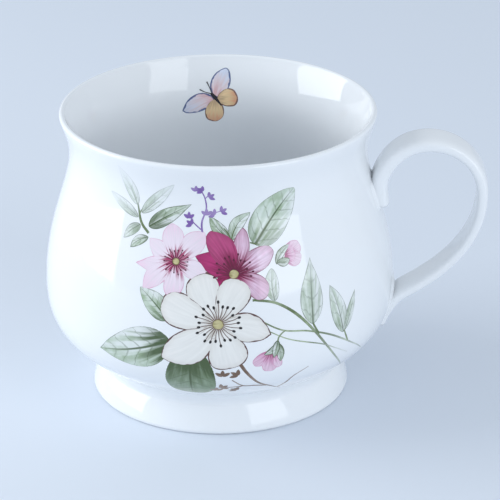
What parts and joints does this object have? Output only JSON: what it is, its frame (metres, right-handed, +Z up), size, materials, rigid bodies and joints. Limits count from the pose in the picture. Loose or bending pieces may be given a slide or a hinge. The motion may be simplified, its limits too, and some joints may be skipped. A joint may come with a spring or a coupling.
{
  "type": "teacup",
  "caption": "Footed round-bellied porcelain teacup with a flared lip, a foot ring, a looped strap handle, a fired flower spray outside and a small butterfly inside the rim.",
  "frame": {"origin": "centre of the plane that the foot ring rests on, on the cup's axis", "axes": "+Z up along the cup's axis, +X towards the handle, -Y towards the side with the flower spray"},
  "size_m": [0.1271, 0.1005, 0.085],
  "materials": {
    "body_glaze": "bright gloss clear glaze over white porcelain",
    "foot_glaze": "gloss clear glaze over white porcelain, dry on the resting edge",
    "handle_glaze": "bright gloss clear glaze over white porcelain",
    "slip": "glazed slip joint",
    "flower_enamel": "on-glaze enamel transfer in several colours, gloss",
    "butterfly_enamel": "on-glaze enamel transfer in several colours, gloss"
  },
  "bodies": {
    "root": {"cup_body": "body_glaze", "foot_ring": "foot_glaze", "foot_joint": "slip", "handle": "handle_glaze", "upper_handle_joint": "slip", "lower_handle_joint": "slip", "flower_transfer": "flower_enamel", "butterfly_transfer": "butterfly_enamel"}
  },
  "joints": []
}
